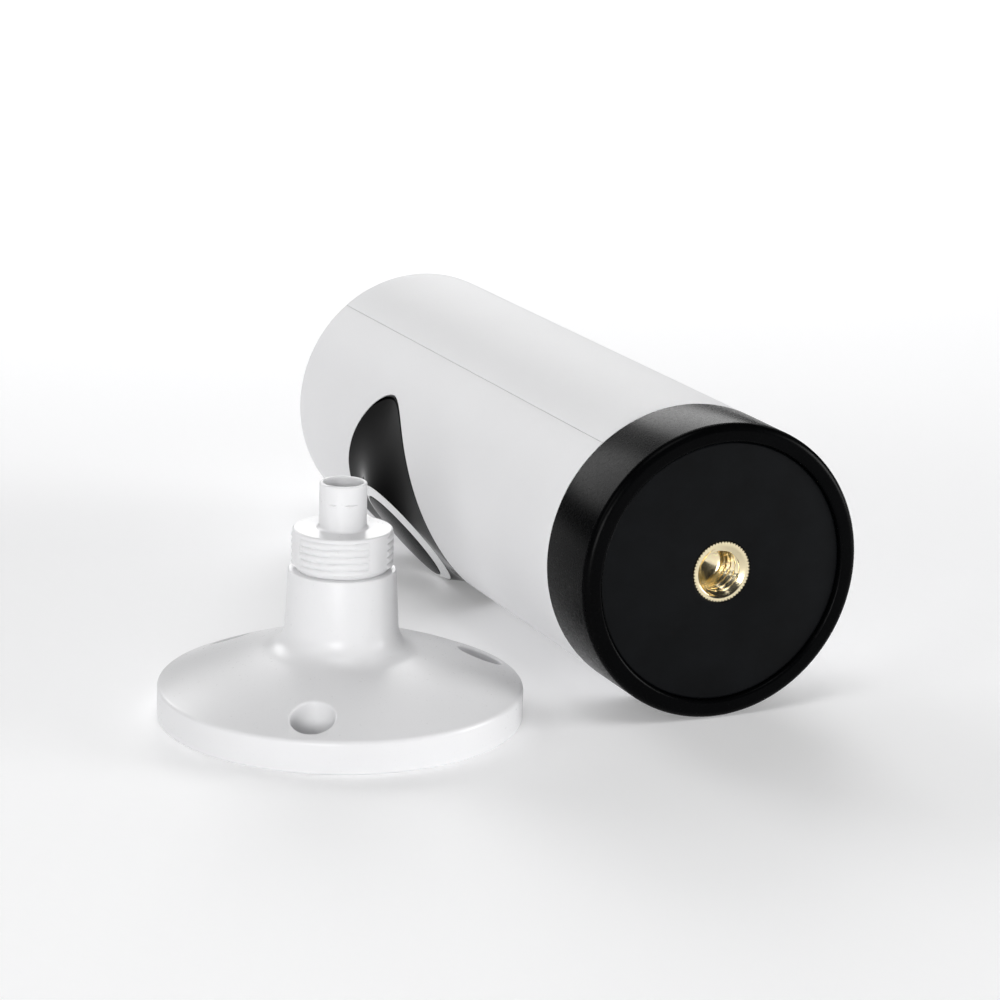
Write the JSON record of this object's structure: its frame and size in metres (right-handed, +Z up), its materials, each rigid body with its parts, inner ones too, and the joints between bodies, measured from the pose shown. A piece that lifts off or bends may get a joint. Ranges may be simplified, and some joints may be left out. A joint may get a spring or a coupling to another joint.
{
  "type": "security camera",
  "caption": "Small cylindrical indoor camera lying on its side beside its loose round wall bracket with a threaded collar and stud.",
  "frame": {"origin": "centre of the bracket flange's underside, on the surface that the bracket and the camera stand on", "axes": "+Z up from that surface; +Y along the camera's axis, from its black base cap to its far end; the camera lies on the bracket's +X side"},
  "size_m": [0.0947, 0.1165, 0.042],
  "materials": {
    "white_shell": "fine satin white moulding",
    "black_cap": "glossy black moulding with a fine satin rim",
    "black_pad": "matt black, finely grained",
    "brass": "bright turned brass",
    "black_gloss": "piano black",
    "white_ring": "glossy white",
    "tinted_glass": "dark tinted, polished",
    "lens_black": "satin black",
    "lens_glass": "coated lens",
    "infrared_filter": "tinted filter glass",
    "clear_filter": "clear glass",
    "black_plastic": "matt black moulding",
    "circuit_board": "green solder mask",
    "chip": "black epoxy",
    "led": "clear epoxy",
    "plated_metal": "bright plating",
    "heat_sink": "plain anodised",
    "steel": "zinc plated",
    "white_bracket": "satin white moulding"
  },
  "bodies": {
    "camera": {"front_shell": "white_shell", "rear_shell": "white_shell", "base_cap": "black_cap", "base_pad": "black_pad", "tripod_insert": "brass", "eye_bezel": "black_gloss", "eye_ring": "white_ring", "front_glass": "tinted_glass", "lens_barrel": "lens_black", "lens_element": "lens_glass", "lens_mount": "black_plastic", "filter_motor": "black_plastic", "chassis": "black_plastic", "reset_switch": "black_plastic", "speaker": "black_plastic", "main_board": "circuit_board", "sensor_board": "circuit_board", "light_board": "circuit_board", "antenna": "circuit_board", "processor": "chip", "image_sensor": "chip", "light_sensor": "chip", "ir_light_left": "led", "ir_light_right": "led", "status_light": "led", "power_inlet": "plated_metal", "radio_module": "plated_metal", "microphone": "plated_metal", "heat_sink": "heat_sink", "cap_screw_1": "steel", "cap_screw_2": "steel", "cap_screw_3": "steel", "board_screw_1": "steel", "board_screw_2": "steel", "board_screw_3": "steel", "board_screw_4": "steel"},
    "bracket": {"bracket_flange": "white_bracket", "bracket_collar": "white_bracket", "bracket_stud": "white_bracket"},
    "reset_button": {"reset_button": "white_shell"},
    "filter_arm": {"filter_arm": "black_plastic"},
    "filter_carriage": {"filter_frame": "black_plastic", "ir_filter": "infrared_filter", "clear_filter": "clear_filter"}
  },
  "joints": [
    {"name": "bracket_lift", "type": "slide", "parent": "camera", "child": "bracket", "axis": [0, 0, 1], "range_m": [0, 0.05]},
    {"name": "reset_press", "type": "slide", "parent": "camera", "child": "reset_button", "axis": [-0.7826, 0, -0.6225], "range_m": [0, 0.0004], "stiffness_N_per_m": 800},
    {"name": "filter_swing", "type": "hinge", "parent": "camera", "child": "filter_arm", "pos_m": [0.04075, 0.0679, 0.01484], "axis": [-0.7826, 0, -0.6225], "range_deg": [0, 70.9]},
    {"name": "filter_slide", "type": "slide", "parent": "camera", "child": "filter_carriage", "axis": [-0.6225, 0, 0.7826], "range_m": [0, 0.0058]}
  ],
  "couplings": [
    {"joint": "filter_swing", "follows": "filter_slide", "rad_per_m": 213.35}
  ]
}
